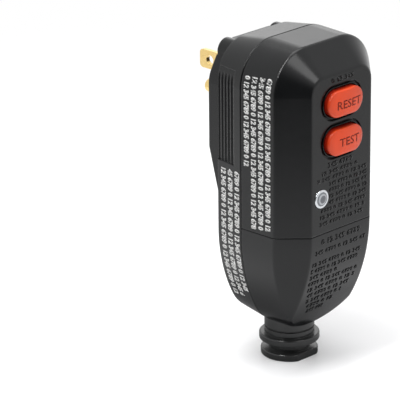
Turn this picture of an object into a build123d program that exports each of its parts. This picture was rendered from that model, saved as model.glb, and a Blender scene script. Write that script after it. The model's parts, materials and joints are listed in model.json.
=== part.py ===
from build123d import *
import math
import os

# Plug-in ground fault protector that a user fits to a cord.
# Millimetres. X to the right seen from the buttons, Y towards the wall outlet, Z up, away from the cord.
# The origin lies midway between the two flat blades, on the face that meets the outlet.
# Places along Y fall from zero at that face to about minus forty at the buttons.

# Across the case: terminals between the two lower screws
terminal_pitch = 9.2
terminal_width = 7.0
terminal_margin = 0.5
terminal_side_gap = 0.3
pad_corner = 4.0         # radius of the screw bosses and of the pad round them
lower_screw_edge = 5.6   # from the widest side
terminal_half = terminal_pitch + terminal_width / 2 + terminal_margin
lower_screw_x = terminal_half + terminal_side_gap + pad_corner

# Down the case, each measured down from the blades: solenoid, cores, seam, terminals, clamp, gland
yoke_top_drop = 11.3
yoke_plate = 1.0
coil_length = 14.0
solenoid_gap = 2.3       # to the sensing cores
core_outer = 6.5
core_edge = 7.5          # to the board's lower edge
board_seam_gap = 3.6
terminal_lead = 1.4      # below the seam
terminal_height = 11.9
terminal_clamp_gap = 6.0
clamp_half_width = 3.5   # of the saddle, along the cord
clamp_lead = 10.4        # above the gland's seat
gland_wall = 5.6         # from the gland's flat seat to the lowest point
core_drop = yoke_top_drop + 2 * yoke_plate + coil_length + solenoid_gap + core_outer
board_low = core_drop + core_edge
seam_drop = board_low + board_seam_gap    # front cover above, terminal cover below
terminal_top_drop = seam_drop + terminal_lead
terminal_low_drop = terminal_top_drop + terminal_height
clamp_drop = terminal_low_drop + terminal_clamp_gap + clamp_half_width
chamber_end = clamp_drop + clamp_lead     # flat seat of the gland inside the body

# Body, seen from the front
body_half_width = lower_screw_x + lower_screw_edge
body_top = 14.8          # above the blades
body_corner = 14.5       # radius of the two upper corners
body_bottom = chamber_end + gland_wall    # below the blades
hip_inset = 6.3          # the tapering side meets the round bottom this far in
hip_half_width = body_half_width - hip_inset
hip_rise = 10.5          # above the lowest point
hip_drop = body_bottom - hip_rise
seam_gap = 0.2
taper_lead = 2.8         # the straight sides end this far below the seam
taper_start = seam_drop + taper_lead

# Body, seen from the side
pad_rise = 5.0           # raised pad that meets the outlet
rear_depth = 12.6        # rear face to parting line
front_depth = 14.4       # parting line to bevel
plateau_rise = 8.5       # leg of the 45 degree bevel
bevel_share = math.tan(math.pi / 8)   # how much a wall thickness narrows the plateau inside
rear_draft = 1.8         # sides draw in by this much over the rear depth
front_draft = 0.4
soft_edge = 1.5          # radius of the edges on both sides of the bevel
lip = 0.35               # small chamfer on both sides of the parting line
reveal = 0.25            # narrow groove between the chamfers, which shows as a dark line
reveal_depth = 0.6
rear_edge = 0.6          # chamfer round the rear face
chin_radius = 58.6       # the front of the terminal cover curves back on this radius
chin_ball_radius = 26.7  # a ball softens the edge between that curve and the bottom
chin_ball_rise = 26.0    # centre of the ball above the lowest point
chin_ball_drop = body_bottom - chin_ball_rise
wall = 2.2
end_wall = 1.8           # closes the upper chamber at the seam
over = 1.0               # overrun of cuts

# Outlet blades and ground pin, standard 15 A pattern
blade_pitch = 12.7
blade_width = 6.35
blade_thickness = 1.5
blade_reach = 16.5
blade_hole = 1.6
blade_hole_reach = 11.9
blade_tip = 1.4
ground_drop = 11.9
ground_radius = 2.375
ground_root = 2.6        # thicker inside the pad
ground_reach = 19.8

# Fits
fit = 0.05               # seated pieces
running = 0.2            # sliding pieces

# Buttons
reset_drop = 3.7
button_pitch = 13.0
button_width = 16.2
button_height = 9.0
button_proud = 2.6
button_edge = 1.1
button_crown = 40.0
reset_travel = 2.5
test_travel = 1.3
plunger_travel = 2.0

# Planes across the depth
pad_y = 0.0
rear_y = pad_y - pad_rise
floor_y = rear_y - wall
parting_y = rear_y - rear_depth
rim_y = parting_y - front_depth
plateau_y = rim_y - plateau_rise
ceiling_y = plateau_y + wall
seam_z = -seam_drop

# Screws that hold the case together, driven from the rear
upper_screw_x = 11.6
upper_screw_z = 7.5
lower_screw_lead = 7.7   # below the seam
lower_screw_drop = seam_drop + lower_screw_lead
upper_recess = 2.95
lower_recess = 2.65
screw_seat_depth = 5.2   # behind the parting line
screw_seat_y = parting_y + screw_seat_depth
screw_head_height = 2.0
screw_shank = 1.45
screw_length = 15.0
screw_head_play = 0.3
case_boss = 3.2
cross_width = 0.9
cross_length = 3.0
cross_depth = 1.0


def at(y):
    """The plane of X and Z at a depth, facing the buttons."""
    return Plane.XZ.offset(-y)


def slab(face, back, front):
    """An outline drawn in X and Z, from back forward to front."""
    return extrude(at(back) * face, amount=back - front)


def block(x0, x1, y0, y1, z0, z1):
    centre = Pos((x0 + x1) / 2, (y0 + y1) / 2, (z0 + z1) / 2)
    return centre * Box(x1 - x0, y1 - y0, z1 - z0)


def peg(x, z, radius, back, front):
    """A round bar along the depth."""
    return slab(Pos(x, z) * Circle(radius), back, front)


def bar(x, y, radius, low, high):
    """A round bar along Z."""
    return Pos(x, y, low) * Cylinder(radius, high - low, align=(Align.CENTER, Align.CENTER, Align.MIN))


def mirrored(shape):
    return shape + mirror(shape, about=Plane.YZ)


def biarc(start, start_way, end, end_way):
    """Two arcs that join two points and keep both directions."""
    gap = end - start
    ways = start_way + end_way
    slack = 2 * (1 - start_way.dot(end_way))
    reach = (-gap.dot(ways) + math.sqrt(gap.dot(ways) ** 2 + slack * gap.dot(gap))) / slack
    middle = (start + end + (start_way - end_way) * reach) / 2
    chord = (middle - start).normalized()
    middle_way = chord * (2 * start_way.dot(chord)) - start_way
    return [
        TangentArc(start, middle, tangent=start_way),
        TangentArc(middle, end, tangent=middle_way),
    ]


turn_points = 24         # points on each turn where a spring's gap to itself is measured


def coil_spring(name, radius, wire, length, turns):
    """A round wire wound about Z, standing on the origin, plain ended."""
    rise = (length - wire) / turns
    slope = rise / (2 * math.pi)

    def place(turn):
        angle = 2 * math.pi * turn
        return Vector(radius * math.cos(angle), radius * math.sin(angle), wire / 2 + rise * turn)

    def way(turn):
        angle = 2 * math.pi * turn
        return Vector(-radius * math.sin(angle), radius * math.cos(angle), slope).normalized()

    quarters = [n / 4 for n in range(int(turns * 4))]
    edges = []
    for turn in quarters:
        edges += biarc(place(turn), way(turn), place(turn + 1 / 4), way(turn + 1 / 4))
    points = [place(n / turn_points) for n in range(int(turns * turn_points))]
    apart = [(a - b).length for i, a in enumerate(points) for b in points[i + turn_points // 2:]]
    print(name, "least gap to itself", round(min(apart) - wire, 2))
    path = Wire(edges)
    return sweep(Plane(origin=place(0), z_dir=way(0)) * Circle(wire / 2), path=path)


def along_depth(shape, x, z, back):
    """Turns a shape that stands on Z so that it runs forward from back."""
    return Pos(x, back, z) * Rot(90, 0, 0) * shape


# Outline of the body, drawn once for every wall and depth
def hip_point(inset):
    """The inset place where the tapering side meets the round bottom."""
    drop = body_bottom - hip_drop
    radius = (hip_half_width**2 + drop**2) / (2 * drop)
    centre = radius - body_bottom
    across = hip_half_width / radius
    down = (-hip_drop - centre) / radius
    return (hip_half_width - inset * across, -hip_drop - inset * down)


def body_outline(inset):
    half = body_half_width - inset
    top = body_top - inset
    corner = body_corner - inset
    hip = hip_point(inset)
    left_hip = (-hip[0], hip[1])
    right = [
        Line((0, top), (half - corner, top)),
        TangentArc((half - corner, top), (half, top - corner), tangent=(1, 0)),
        Line((half, top - corner), (half, -taper_start)),
        TangentArc((half, -taper_start), hip, tangent=(0, -1)),
    ]
    left = [mirror(edge, about=Plane.YZ) for edge in right]
    bottom = ThreePointArc(hip, (0, inset - body_bottom), left_hip)
    return make_face(right + [bottom] + left)


def body_loft(sections):
    """Straight walls through insets of the body outline, each given with its depth."""
    return loft([at(y) * body_outline(inset) for y, inset in sections], ruled=True)


far = body_bottom + body_top
above_seam = block(-far, far, -far, far, seam_z + seam_gap / 2, far)
below_seam = block(-far, far, -far, far, -far, seam_z - seam_gap / 2)

# Cord gland, a rubber bushing with two flanges outside the body
gland_neck = 8.4
gland_lock = 9.8
gland_lock_height = 2.0
gland_ring = 10.15
gland_core = 7.0
gland_end = 9.6
gland_flat = 8.2
gland_groove = 0.5
gland_groove_height = 0.6
cord_radius = 4.9
gland_groove_lead = 1.4
gland_ring_lead = 4.0
groove_drop = body_bottom + gland_groove_lead
gland_ring_drop = body_bottom + gland_ring_lead
gland_ring_height = 2.4
gland_waist_height = 3.0
gland_end_height = 2.4


# Rear housing
pad_edge = 3.4
pad_side = body_half_width - pad_edge
pad_side_corner = 9.0
pad_side_drop = 2.2
pad_low_corner = 1.0
boss_stand = 0.7         # the pad's two screw bosses bulge out of its outline
boss_groove = 0.35       # a fine groove sets them off from the pad
ramp_start = 24.0
ramp_end = 42.5
rib_top = 5.4
rib_low = 26.6
rib_count = 5
rib_pitch = 1.65
rib_radius = 0.5
first_rib_depth = 1.3          # first groove, forward of the rear face
rib_panel_depth = 9.0
rib_recess = 0.35
lap_height = 1.6
lap_thickness = 1.0
board_rise = 6.6         # from the floor of the housing to the board
board_back_y = floor_y - board_rise
board_thickness = 1.6
board_front_y = board_back_y - board_thickness
board_play = 0.3
board_half = body_half_width - rear_draft - wall - board_play
board_top = 3.0
standoff = 2.0
standoff_pin = 1.0
standoff_pin_rise = 0.8
standoff_edge = 1.8
standoff_x = board_half - standoff_edge
standoff_upper_drop = 13.0
standoff_lower_edge = 2.3
standoff_lower_drop = board_low - standoff_lower_edge
strap_half = 3.0
strap_thickness = 0.8
strap_play = 0.5
pin_flange = 3.6
flange_thickness = 1.6
clamp_screw_x = 9.6
clamp_boss = 3.0
clamp_rise = 7.0
clamp_seat_y = floor_y - clamp_rise
small_shank = 1.25


def pad_face():
    """Outline of the raised pad: round at the two upper screws, then straight down the sides."""
    rounds = [
        Pos(upper_screw_x, upper_screw_z) * Circle(pad_corner - boss_stand),
        Pos(pad_side - pad_side_corner, -pad_side_drop) * Circle(pad_side_corner),
        Pos(pad_side - pad_low_corner, -ramp_end) * Circle(pad_low_corner),
    ]
    rounds += [mirror(circle, about=Plane.YZ) for circle in rounds]
    return make_hull([edge for circle in rounds for edge in circle.edges()])


def pad_block():
    """The raised pad with its two screw bosses, and the fine groove round each."""
    circle = Pos(upper_screw_x, upper_screw_z) * Circle(pad_corner)
    ring = Pos(upper_screw_x, upper_screw_z) * Circle(pad_corner + boss_groove) - circle
    pad = slab(pad_face(), pad_y, rear_y - rear_edge)
    pad -= mirrored(slab(ring, pad_y + over, pad_y - boss_groove))
    return pad + mirrored(slab(circle, pad_y, rear_y - rear_edge))


def rear_inset(y, inset=0.0):
    """Inset of the rear half at a depth, from its draft."""
    return inset + rear_draft * (y - parting_y) / rear_depth


def rear_shell(inset, edge):
    sections = [
        (parting_y, inset + edge),
        (parting_y + lip, rear_inset(parting_y + lip, inset)),
        (rear_y - rear_edge, rear_inset(rear_y - rear_edge, inset)),
        (rear_y, rear_draft + inset + rear_edge),
    ]
    return body_loft(sections)


def blade_slot(x):
    width = blade_width + 2 * fit
    thickness = blade_thickness + 2 * fit
    return slab(Pos(x, 0) * Rectangle(thickness, width), pad_y + over, floor_y - over)


def rear_housing():
    outer = rear_shell(0, lip)
    cavity = body_loft([
        (parting_y - over, wall),
        (parting_y, wall),
        (floor_y, rear_inset(floor_y, wall)),
    ])
    cavity &= block(-far, far, -far, far, -chamber_end, far)
    housing = outer - cavity
    ramp = Polyline(
        (pad_y, -ramp_start),
        (rear_y, -ramp_end),
        (rear_y, -body_bottom),
        (pad_y + over, -body_bottom),
        (pad_y + over, -ramp_start),
        close=True,
    )
    housing += pad_block() - extrude(Plane.YZ * make_face(ramp), amount=body_half_width, both=True)
    # grip panel on both sides: a shallow recess, then grooves along Z
    deeper = rear_shell(rib_recess, lip)
    panel = block(0, far, rear_y - rib_panel_depth, rear_y, -rib_low, rib_top)
    housing -= mirrored((outer - deeper) & panel)
    for n in range(rib_count):
        y = rear_y - first_rib_depth - n * rib_pitch
        x = body_half_width - rear_inset(y) - rib_recess
        housing -= mirrored(bar(x, y, rib_radius, -rib_low, rib_top))
    # inside: bosses, standoffs, partition, lap lip
    inside = rear_shell(lip, lip)
    lap = slab(body_outline(wall + fit), parting_y, parting_y - lap_height)
    lap -= slab(body_outline(wall + fit + lap_thickness), parting_y + over, parting_y - lap_height - over)
    lap -= block(-far, far, -far, far, -far, -hip_drop)
    lap -= block(-far, far, -far, far, seam_z - lap_thickness, seam_z + end_wall + lap_thickness)
    lap_root = slab(body_outline(wall), parting_y + lap_height, parting_y)
    lap_inner = body_outline(wall + fit + lap_thickness)
    lap_root -= slab(lap_inner, parting_y + lap_height + over, parting_y - over)
    lap_root &= block(-far, far, -far, far, -hip_drop, far)
    bosses = peg(upper_screw_x, upper_screw_z, pad_corner, floor_y + over, parting_y)
    bosses += peg(lower_screw_x, -lower_screw_drop, pad_corner, floor_y + over, parting_y) & inside
    for drop in (standoff_upper_drop, standoff_lower_drop):
        bosses += peg(standoff_x, -drop, standoff, floor_y + over, board_back_y)
        bosses += peg(standoff_x, -drop, standoff_pin, board_back_y, board_front_y - standoff_pin_rise)
    bosses += peg(clamp_screw_x, -clamp_drop, clamp_boss, floor_y + over, clamp_seat_y)
    partition = slab(body_outline(wall - over / 2), floor_y + over, parting_y)
    partition &= block(-far, far, -far, far, seam_z + seam_gap / 2, seam_z + seam_gap / 2 + end_wall)
    lap_clear_end = parting_y - lap_height - over
    lap_clear = peg(lower_screw_x, -lower_screw_drop, case_boss + running, parting_y, lap_clear_end)
    lap_clear += peg(upper_screw_x, upper_screw_z, case_boss + running, parting_y, lap_clear_end)
    housing += lap - mirrored(lap_clear) + lap_root + mirrored(bosses) + partition
    # openings for screws, blades, pin, strap and gland
    over_y = pad_y + over
    holes = peg(upper_screw_x, upper_screw_z, upper_recess, over_y, screw_seat_y)
    holes += peg(upper_screw_x, upper_screw_z, screw_shank + fit, over_y, parting_y - over)
    holes += peg(lower_screw_x, -lower_screw_drop, lower_recess, over_y, screw_seat_y)
    holes += peg(lower_screw_x, -lower_screw_drop, screw_shank + fit, over_y, parting_y - over)
    holes += peg(clamp_screw_x, -clamp_drop, small_shank + fit, floor_y, clamp_seat_y - over)
    holes += blade_slot(blade_pitch / 2)
    housing -= mirrored(holes)
    housing -= peg(0, -ground_drop, ground_root + fit, pad_y + over, floor_y - over)
    strap_low = floor_y - flange_thickness - strap_thickness - strap_play
    strap_slot = strap_half + strap_play
    housing -= block(-strap_slot, strap_slot, strap_low, floor_y - over, seam_z, -board_low)
    for lead in (-lead_x, lead_x):
        housing -= lead_notch(lead)
    housing -= bar(0, parting_y, gland_neck + fit, -body_bottom - over, -chamber_end + over)
    return housing


# Front cover, with the buttons and the indicator
opening_play = 0.35
moat_width = 1.5         # sunk ring round each button
moat_depth = 1.2
collar_wall = 0.35       # thin rim between the sunk ring and the button
button_flange = 1.0
flange_depth = 1.2
well_wall = 0.8
well_depth = 3.0
indicator_x = -9.4
indicator_seam_gap = 12.3
indicator_drop = seam_drop - indicator_seam_gap
bezel_outer = 3.15
bezel_inner = 2.35
bezel_flange = 4.0
bezel_flange_thickness = 0.9
bezel_proud = 0.35
lead_x = 9.2
lead_radius = 0.9
lead_bend = 2.6
lead_rise = 4.0
lead_y = board_front_y - lead_rise
notch_half = 1.5


def lead_notch(x):
    """Open notch in a wall at the seam, through which a conductor passes."""
    low = seam_z - over
    high = over - board_low
    return block(x - notch_half, x + notch_half, lead_y - notch_half, parting_y + over, low, high)


def front_outer():
    shell = body_loft([
        (parting_y, lip),
        (parting_y - lip, 0),
        (rim_y, front_draft),
        (plateau_y, front_draft + plateau_rise),
    ])
    rings = shell.edges().filter_by(Plane.XZ)
    rounds = rings.filter_by_position(Axis.Y, plateau_y - fit, plateau_y + fit)
    rounds += rings.filter_by_position(Axis.Y, rim_y - fit, rim_y + fit)
    return fillet(rounds, soft_edge)


def parting_groove():
    """The narrow groove round the outside, just in front of the parting line."""
    ring = body_outline(-over) - body_outline(lip + reveal_depth)
    return slab(ring, parting_y + over, parting_y - reveal)


def front_inner():
    inner_bevel = wall * bevel_share
    return body_loft([
        (parting_y + over, wall),
        (parting_y, wall),
        (rim_y + inner_bevel, wall + front_draft),
        (ceiling_y, front_draft + plateau_rise + inner_bevel),
    ])


def case_boss_pair(x, z, inside, front):
    boss = peg(x, z, case_boss, parting_y, front) & inside
    pilot = peg(x, z, screw_shank + fit, parting_y + over, screw_seat_y - screw_length - over)
    return mirrored(boss), mirrored(pilot)


def front_cover():
    outer = front_outer() & above_seam
    chamber = block(-far, far, -far, far, seam_z + seam_gap / 2 + end_wall, far)
    cover = outer - (front_inner() & chamber) - parting_groove()
    bosses, pilots = case_boss_pair(upper_screw_x, upper_screw_z, outer, rim_y - over)
    cover += bosses
    well_width = button_width + 2 * (button_flange + running)
    well_height = button_height + 2 * (button_flange + running)
    for drop in (reset_drop, reset_drop + button_pitch):
        well = SlotOverall(well_width + 2 * well_wall, well_height + 2 * well_wall)
        well -= SlotOverall(well_width, well_height)
        cover += slab(Pos(0, -drop) * well, ceiling_y + well_depth, ceiling_y)
    for drop in (reset_drop, reset_drop + button_pitch):
        hole = SlotOverall(button_width + 2 * opening_play, button_height + 2 * opening_play)
        cover -= slab(Pos(0, -drop) * hole, ceiling_y + over, plateau_y - over)
        moat = SlotOverall(button_width + 2 * moat_width, button_height + 2 * moat_width)
        collar = opening_play + collar_wall
        moat -= SlotOverall(button_width + 2 * collar, button_height + 2 * collar)
        cover -= slab(Pos(0, -drop) * moat, plateau_y + moat_depth, plateau_y - over)
        clear = Pos(0, -drop) * SlotOverall(well_width, well_height)
        cover -= slab(clear, ceiling_y + well_depth + over, ceiling_y)
    cover -= peg(indicator_x, -indicator_drop, bezel_outer + fit, ceiling_y + over, plateau_y - over)
    for lead in (-lead_x, lead_x):
        cover -= lead_notch(lead)
    return cover - pilots


# Terminal cover, which closes the wiring chamber
def chin(inset):
    """Everything behind the curved front and its two bevels."""
    axis_y = plateau_y + chin_radius
    radius = chin_radius - inset
    half = body_half_width - front_draft - plateau_rise - inset * bevel_share
    front = extrude(Plane.YZ * Pos(axis_y, seam_z) * Circle(radius), amount=far, both=True)
    start = axis_y - half - far
    slanted = Plane.YZ.offset(-far) * Pos(start, seam_z) * Circle(radius)
    bevelled = extrude(slanted, amount=2 * far, dir=(1, 1, 0))
    return front & bevelled & mirror(bevelled, about=Plane.YZ)


def terminal_outer():
    draft_end = front_draft * (parting_y - plateau_y) / front_depth
    outer = body_loft([(parting_y, lip), (parting_y - lip, 0), (plateau_y, draft_end)])
    ball = Pos(0, parting_y, -chin_ball_drop) * Sphere(chin_ball_radius)
    ball += block(-far, far, -far, far, -chin_ball_drop, far)
    shell = outer & chin(0)
    rounds = shell.edges().sort_by(SortBy.LENGTH)[-2:]
    rims = shell.edges().filter_by_position(Axis.Y, rim_y, rim_y + over)
    rounds += rims.filter_by_position(Axis.Z, -hip_drop, seam_z)
    return fillet(rounds, soft_edge) & ball


def terminal_cover():
    outer = terminal_outer() & below_seam
    inner = body_loft([(parting_y + over, wall), (parting_y, wall), (plateau_y, wall + front_draft)])
    inner &= chin(wall)
    inner &= block(-far, far, -far, far, -chamber_end, far)
    cover = outer - inner - parting_groove()
    bosses, pilots = case_boss_pair(lower_screw_x, -lower_screw_drop, outer, rim_y - over)
    cover += bosses
    cover -= pilots
    cover -= bar(0, parting_y, gland_neck + fit, -body_bottom - over, -chamber_end + over)
    return cover


# Outlet contacts
tail_width = 3.0
tail_rise = 1.4
shoulder = 1.5


def blade(x):
    """Flat blade: rounded tip with a hole, shoulder inside the case, tail through the board."""
    tip = pad_y + blade_reach
    seat = floor_y - fit
    end = board_front_y - tail_rise
    half = blade_width / 2
    body = Pos((tip + seat) / 2, 0) * Rectangle(tip - seat, 2 * half)
    body = fillet(body.vertices().group_by(Axis.X)[-1], blade_tip)
    body += Pos(seat - flange_thickness / 2, 0) * Rectangle(flange_thickness, 2 * (half + shoulder))
    body += Pos((seat + end) / 2, 0) * Rectangle(seat - end, tail_width)
    body -= Pos(pad_y + blade_hole_reach, 0) * Circle(blade_hole)
    return Pos(x, 0, 0) * extrude(Plane.YZ * body, amount=blade_thickness / 2, both=True)


def ground_pin():
    """Round pin with a domed tip, a flange on the floor and a short riveted tail."""
    tail = ground_radius / 2
    tail_end = floor_y - fit - flange_thickness - strap_thickness - 2 * fit
    tip = pad_y + ground_reach
    seat = floor_y - fit
    neck = tip - ground_radius / 2
    profile = [
        Line((0, tail_end), (tail, tail_end)),
        Line((tail, tail_end), (tail, seat - flange_thickness)),
        Line((tail, seat - flange_thickness), (pin_flange, seat - flange_thickness)),
        Line((pin_flange, seat - flange_thickness), (pin_flange, seat)),
        Line((pin_flange, seat), (ground_root, seat)),
        Line((ground_root, seat), (ground_root, pad_y)),
        Line((ground_root, pad_y), (ground_radius, pad_y)),
        Line((ground_radius, pad_y), (ground_radius, neck)),
        TangentArc((ground_radius, neck), (ground_radius / 2, tip), tangent=(0, 1)),
        Line((ground_radius / 2, tip), (0, tip)),
        Line((0, tip), (0, tail_end)),
    ]
    return Pos(0, 0, -ground_drop) * revolve(make_face(profile), axis=Axis.Y)


# Buttons
shaft_radius = 1.6
shaft_fit_depth = 3.0
hub_radius = 2.6
hub_depth = 4.0
stem_radius = 2.0
button_flange_y = ceiling_y + fit                  # front of the flange, behind the cover
button_back_y = button_flange_y + flange_depth
reset_spring_space = 8.3
frame_top_y = button_back_y + reset_spring_space
frame_plate = 1.4
frame_back_y = frame_top_y + frame_plate
leaf_thickness = 0.4
stem_length = 3.5
leaf_y = button_back_y + stem_length               # front of the test leaf


def button(drop):
    """Stadium cap with a crowned top and a flange that keeps it behind the cover."""
    top = plateau_y - button_proud
    cap = slab(SlotOverall(button_width, button_height), button_back_y, top)
    cap = fillet(cap.faces().sort_by(Axis.Y)[0].edges(), button_edge)
    cap &= Pos(0, top + button_crown, 0) * Sphere(button_crown)
    flange = SlotOverall(button_width + 2 * button_flange, button_height + 2 * button_flange)
    cap += slab(flange, button_back_y, button_flange_y)
    return Pos(0, 0, -drop) * cap


def reset_button():
    hub = peg(0, -reset_drop, hub_radius, button_back_y + hub_depth, button_back_y)
    socket_end = button_back_y + hub_depth - shaft_fit_depth
    socket = peg(0, -reset_drop, shaft_radius + fit, button_back_y + hub_depth + over, socket_end)
    return button(reset_drop) + hub - socket


def test_button():
    drop = reset_drop + button_pitch
    return button(drop) + peg(0, -drop, stem_radius, leaf_y - fit, button_back_y)


# Indicator: light on the board, clear light pipe and its ring
light_radius = 1.5
light_height = 4.8
pipe_radius = 1.6
pipe_gap = 0.3
pipe_crown = 0.6


def indicator_bezel():
    flange = slab(Circle(bezel_flange), ceiling_y + bezel_flange_thickness, ceiling_y + fit)
    ring = slab(Circle(bezel_outer), ceiling_y + bezel_flange_thickness, plateau_y - bezel_proud)
    ring = fillet(ring.faces().sort_by(Axis.Y)[0].edges(), bezel_proud - fit)
    bore = slab(Circle(bezel_inner), ceiling_y + bezel_flange_thickness + over, plateau_y - over)
    return Pos(indicator_x, 0, -indicator_drop) * (flange + ring - bore)


def indicator_lens():
    back = ceiling_y + bezel_flange_thickness
    head = bezel_inner - fit
    top = plateau_y - bezel_proud
    stem_end = board_front_y - light_height - pipe_gap
    radius = (head**2 + pipe_crown**2) / (2 * pipe_crown)
    lens = slab(Circle(head), back, top - pipe_crown)
    lens &= Pos(0, top - pipe_crown + radius, 0) * Sphere(radius)
    lens += slab(Circle(bezel_outer), back + bezel_flange_thickness, back)
    lens += slab(Circle(pipe_radius), stem_end, back)
    return Pos(indicator_x, 0, -indicator_drop) * lens


def indicator_light():
    rim = light_radius + light_radius / 6
    body = slab(Circle(rim), board_front_y, board_front_y - light_radius / 2)
    body += slab(Circle(light_radius), board_front_y, board_front_y - light_height + light_radius)
    body += Pos(0, board_front_y - light_height + light_radius, 0) * Sphere(light_radius)
    body &= slab(Circle(rim), board_front_y, board_front_y - light_height)
    return Pos(indicator_x, 0, -indicator_drop) * body


# Circuit board
board_corner = 1.5


def circuit_board():
    height = board_top + board_low
    middle = (board_top - board_low) / 2
    outline = Pos(0, middle) * RectangleRounded(2 * board_half, height, board_corner)
    board = slab(outline, board_back_y, board_front_y)
    over_back = board_back_y + over
    over_front = board_front_y - over
    for drop in (standoff_upper_drop, standoff_lower_drop):
        board -= mirrored(peg(standoff_x, -drop, standoff_pin + fit, over_back, over_front))
    slot = Rectangle(blade_thickness + 2 * fit, tail_width + 2 * fit)
    return board - mirrored(slab(Pos(blade_pitch / 2, 0) * slot, over_back, over_front))


# Contact mechanism round the reset shaft
carrier_half_width = 6.6
carrier_half_height = 4.6
carrier_gap = 1.4
carrier_front_y = frame_back_y + carrier_gap
carrier_depth = 4.8
carrier_back_y = carrier_front_y + carrier_depth
frame_wall = 1.3
frame_half_width = 5.2
shaft_play = 0.4
latch_thickness = 0.8
carrier_corner = 0.5
latch_half_width = 3.0
latch_depth = 1.3
latch_front_y = carrier_front_y + latch_depth
latch_back_y = latch_front_y + latch_thickness
latch_play = 0.1
latch_rise = 2.7         # top of the latch above the shaft axis
latch_reach = 6.7        # its lower end below the shaft axis
groove_radius = 1.1
groove_play = 0.2
groove_clearance = 0.15    # how far the latch window clears the groove
shaft_cone = 1.5
shaft_nose = 1.0         # how far it stands out behind the carrier
arm_thickness = 0.6
arm_depth = 2.6
arm_front_y = carrier_front_y + arm_depth
arm_half_height = 2.0
arm_root = 5.2
pad_radius = 1.4
pad_thickness = 0.95
fixed_leg_edge = 3.6     # from the board's edge
fixed_leg_x = board_half - fixed_leg_edge
arm_end_gap = 2.0
arm_end = fixed_leg_x - arm_end_gap
contact_edge = 1.7
contact_x = arm_end - contact_edge
fixed_inner_x = contact_x - contact_edge + running
fixed_thickness = 0.8
fixed_half_height = 2.2
fixed_foot = 1.0         # the foot reaches this far each side of the leg's outside
break_spring_x = 4.6
break_pocket = 1.25
break_pocket_depth = 2.2
break_spring_radius = 0.85
break_spring_wire = 0.3
break_spring_turns = 4
reset_spring_radius = 3.4
reset_spring_wire = 0.6
reset_spring_turns = 5

# Solenoid below the latch
solenoid_depth = 1.0
solenoid_y = latch_back_y + solenoid_depth
yoke_half_width = 5.0
coil_radius = 5.7
bobbin_flange = 0.8
bobbin_bore = 2.3
bobbin_tube = 3.0
bobbin_rim = 6.0
plunger_radius = 2.2
plunger_rod = 1.1
plunger_shoulder = 5.4   # shoulder below the upper yoke plate
plunger_head = 1.7
plunger_tail = 1.0       # how far it stands out below the yoke
plunger_head_height = 0.6
plunger_spring_radius = 1.6
plunger_spring_wire = 0.35
plunger_spring_turns = 6
window_half = 4.2


def mechanism_frame():
    """Two walls on the board and a plate that carries the reset spring."""
    inner = carrier_half_height + running
    outer = inner + frame_wall
    frame = block(-frame_half_width, frame_half_width, frame_top_y, board_front_y, -outer, outer)
    frame -= block(-far, far, frame_back_y, board_front_y + over, -inner, inner)
    frame -= slab(Circle(shaft_radius + shaft_play), frame_back_y + over, frame_top_y - over)
    window_front = latch_front_y - plunger_head_height
    window_back = latch_back_y + reset_travel + plunger_head_height
    frame -= block(-window_half, window_half, window_front, window_back, -outer - over, -inner + over)
    return Pos(0, 0, -reset_drop) * frame


def contact_carrier():
    """Moulded slider that holds the latch and the two moving contacts."""
    half_height = carrier_half_height
    carrier = slab(Rectangle(2 * carrier_half_width, 2 * half_height), carrier_back_y, carrier_front_y)
    carrier = fillet(carrier.edges().filter_by(Axis.Y), carrier_corner)
    carrier -= slab(Circle(shaft_radius + latch_play), carrier_back_y + over, carrier_front_y - over)
    slot = latch_half_width + latch_play
    slot_front = latch_front_y - latch_play
    slot_back = latch_back_y + latch_play
    carrier -= block(-slot, slot, slot_front, slot_back, -half_height - over, half_height + over)
    arm = arm_half_height + fit
    arm_slot_front = arm_front_y - fit
    arm_slot_back = arm_front_y + arm_thickness + fit
    arm_slot_end = carrier_half_width + over
    arm_slot = block(arm_root - fit, arm_slot_end, arm_slot_front, arm_slot_back, -arm, arm)
    pocket_end = carrier_front_y + break_pocket_depth
    pocket = peg(break_spring_x, 0, break_pocket, pocket_end, carrier_front_y - over)
    return Pos(0, 0, -reset_drop) * (carrier - mirrored(arm_slot + pocket))


def moving_contacts():
    half = arm_half_height
    arm = block(arm_root, arm_end, arm_front_y, arm_front_y + arm_thickness, -half, half)
    arm = fillet(arm.edges().filter_by(Axis.Y).group_by(Axis.X)[-1], arm_half_height / 2)
    arm += peg(contact_x, 0, pad_radius, arm_front_y, arm_front_y - pad_thickness)
    return Pos(0, 0, -reset_drop) * mirrored(arm)


def fixed_contacts():
    """Two brackets on the board, with their contacts facing the moving ones."""
    pad_front = arm_front_y - pad_thickness - fit - pad_thickness
    arm_top = pad_front - fixed_thickness
    leg_end = fixed_leg_x + fixed_thickness
    half = fixed_half_height
    leg = block(fixed_leg_x, leg_end, arm_top, board_front_y, -half, half)
    arm = block(fixed_inner_x, leg_end, arm_top, pad_front, -half, half)
    foot_y = board_front_y - fixed_thickness
    foot = block(leg_end - fixed_foot, leg_end + fixed_foot, foot_y, board_front_y, -half, half)
    bracket = leg + arm + foot + peg(contact_x, 0, pad_radius, pad_front + pad_thickness, pad_front)
    return Pos(0, 0, -reset_drop) * mirrored(bracket)


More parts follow.
